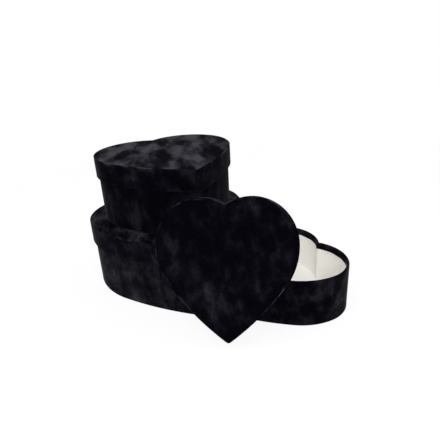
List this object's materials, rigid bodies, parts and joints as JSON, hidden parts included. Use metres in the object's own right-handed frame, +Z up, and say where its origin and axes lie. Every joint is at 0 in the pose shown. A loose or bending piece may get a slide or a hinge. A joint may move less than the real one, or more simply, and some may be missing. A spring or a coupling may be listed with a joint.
{
  "type": "heart gift box set",
  "caption": "Nesting heart-shaped gift boxes in black velvet with lift-off lids: a closed stack beside an open box with off-white lining, its lid leaning in front.",
  "frame": {"origin": "on the table under the large box, midway between the centres of its two lobes", "axes": "+Z up out of the boxes, -Y towards the tip of the large heart, +X towards the open small box"},
  "size_m": [0.2864, 0.2947, 0.184],
  "materials": {
    "black_velvet": "short brushed pile",
    "chipboard": "matte grey-brown",
    "lining_paper": "matte off-white",
    "bottom_card": "matte black"
  },
  "bodies": {
    "large_box": {"large_wall_band": "chipboard", "large_base_board": "chipboard", "large_wall_velvet": "black_velvet", "large_wall_lining": "lining_paper", "large_floor_lining": "lining_paper", "large_underside_card": "bottom_card"},
    "large_lid": {"large_lid_board": "chipboard", "large_lid_rim_band": "chipboard", "large_lid_top_velvet": "black_velvet", "large_lid_rim_velvet": "black_velvet", "large_lid_lining": "lining_paper", "large_lid_rim_lining": "lining_paper"},
    "medium_box": {"medium_wall_band": "chipboard", "medium_base_board": "chipboard", "medium_wall_velvet": "black_velvet", "medium_wall_lining": "lining_paper", "medium_floor_lining": "lining_paper", "medium_underside_card": "bottom_card"},
    "medium_lid": {"medium_lid_board": "chipboard", "medium_lid_rim_band": "chipboard", "medium_lid_top_velvet": "black_velvet", "medium_lid_rim_velvet": "black_velvet", "medium_lid_lining": "lining_paper", "medium_lid_rim_lining": "lining_paper"},
    "small_box": {"small_wall_band": "chipboard", "small_base_board": "chipboard", "small_wall_velvet": "black_velvet", "small_wall_lining": "lining_paper", "small_floor_lining": "lining_paper", "small_underside_card": "bottom_card"},
    "small_lid": {"small_lid_board": "chipboard", "small_lid_rim_band": "chipboard", "small_lid_top_velvet": "black_velvet", "small_lid_rim_velvet": "black_velvet", "small_lid_lining": "lining_paper", "small_lid_rim_lining": "lining_paper"}
  },
  "joints": [
    {"name": "large_lid_lift", "type": "slide", "parent": "large_box", "child": "large_lid", "axis": [0, 0, 1], "range_m": [0, 0.12]},
    {"name": "medium_box_lift", "type": "slide", "parent": "large_lid", "child": "medium_box", "axis": [0, 0, 1], "range_m": [0, 0.12]},
    {"name": "medium_lid_lift", "type": "slide", "parent": "medium_box", "child": "medium_lid", "axis": [0, 0, 1], "range_m": [0, 0.12]},
    {"name": "small_box_slide", "type": "slide", "parent": "large_box", "child": "small_box", "axis": [0.9978, 0.0663, 0], "range_m": [0, 0.2]},
    {"name": "small_lid_pull", "type": "slide", "parent": "large_lid", "child": "small_lid", "axis": [-0.4801, -0.8085, 0.3404], "range_m": [0, 0.15]}
  ]
}
